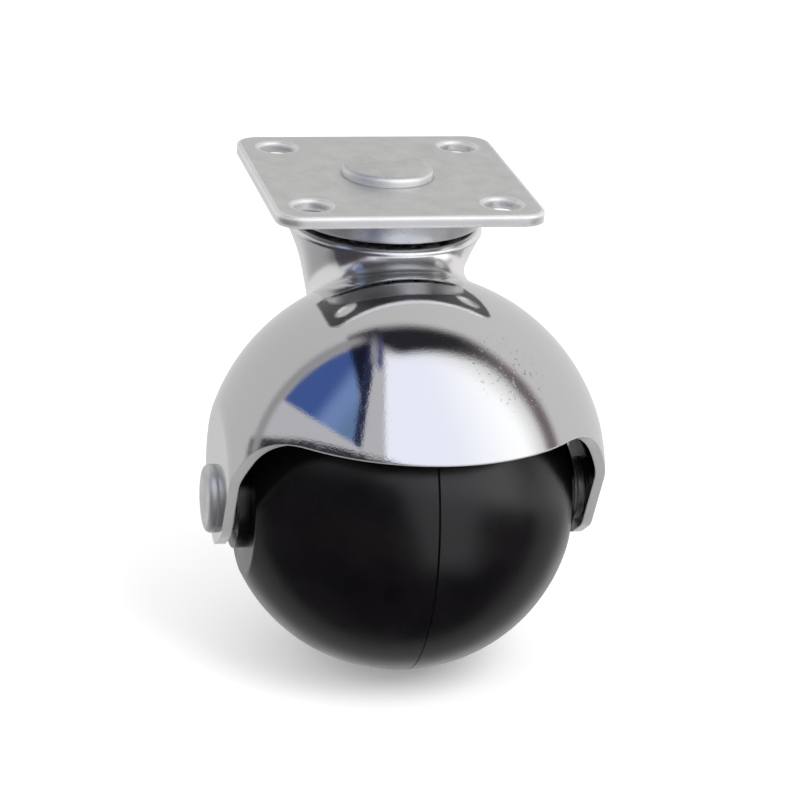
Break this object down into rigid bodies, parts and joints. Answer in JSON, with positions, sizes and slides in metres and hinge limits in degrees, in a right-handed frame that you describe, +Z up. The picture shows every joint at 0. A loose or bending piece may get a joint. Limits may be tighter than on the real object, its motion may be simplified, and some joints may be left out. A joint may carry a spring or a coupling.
{
  "type": "swivel plate castor",
  "caption": "Swivel castor with a ball wheel under a rounded chrome hood, on a square screw-on plate with a ball-bearing swivel.",
  "frame": {"origin": "centre of the mounting plate's top face, on the swivel axis", "axes": "+Z up along the swivel axis, out of the plate's top face; X along the wheel's axle; the wheel trails towards -Y"},
  "size_m": [0.0556, 0.0661, 0.0675],
  "materials": {
    "plate_zinc": "dull zinc plate, slightly mottled",
    "race_zinc": "bright bluish zinc plate",
    "rivet_steel": "satin steel",
    "hood_chrome": "bright chrome plate",
    "ball_steel": "ground steel, lightly greased",
    "wheel_black": "satin black moulding",
    "bush_plastic": "natural acetal"
  },
  "bodies": {
    "plate": {"mounting_plate": "plate_zinc", "upper_race": "race_zinc", "kingpin": "rivet_steel", "lower_race": "race_zinc"},
    "hood": {"hood": "hood_chrome", "axle": "rivet_steel", "spacer_left": "race_zinc", "spacer_right": "race_zinc"},
    "wheel": {"wheel_left_half": "wheel_black", "wheel_right_half": "wheel_black", "bush_left": "bush_plastic", "bush_right": "bush_plastic"},
    "upper_balls": {"upper_ball_01": "ball_steel", "upper_ball_02": "ball_steel", "upper_ball_03": "ball_steel", "upper_ball_04": "ball_steel", "upper_ball_05": "ball_steel", "upper_ball_06": "ball_steel", "upper_ball_07": "ball_steel", "upper_ball_08": "ball_steel", "upper_ball_09": "ball_steel", "upper_ball_10": "ball_steel", "upper_ball_11": "ball_steel", "upper_ball_12": "ball_steel", "upper_ball_13": "ball_steel", "upper_ball_14": "ball_steel", "upper_ball_15": "ball_steel", "upper_ball_16": "ball_steel"},
    "lower_balls": {"lower_ball_01": "ball_steel", "lower_ball_02": "ball_steel", "lower_ball_03": "ball_steel", "lower_ball_04": "ball_steel", "lower_ball_05": "ball_steel", "lower_ball_06": "ball_steel", "lower_ball_07": "ball_steel", "lower_ball_08": "ball_steel", "lower_ball_09": "ball_steel", "lower_ball_10": "ball_steel", "lower_ball_11": "ball_steel", "lower_ball_12": "ball_steel"}
  },
  "joints": [
    {"name": "swivel", "type": "hinge", "parent": "plate", "child": "hood", "pos_m": [0, 0, 0], "axis": [0, 0, 1], "continuous": true},
    {"name": "wheel_spin", "type": "hinge", "parent": "hood", "child": "wheel", "pos_m": [0, -0.019, -0.041], "axis": [1, 0, 0], "continuous": true},
    {"name": "upper_ball_roll", "type": "hinge", "parent": "plate", "child": "upper_balls", "pos_m": [0, 0, 0], "axis": [0, 0, 1], "continuous": true},
    {"name": "lower_ball_roll", "type": "hinge", "parent": "plate", "child": "lower_balls", "pos_m": [0, 0, 0], "axis": [0, 0, 1], "continuous": true}
  ],
  "couplings": [
    {"joint": "upper_ball_roll", "follows": "swivel", "ratio": 0.5},
    {"joint": "lower_ball_roll", "follows": "swivel", "ratio": 0.5}
  ]
}
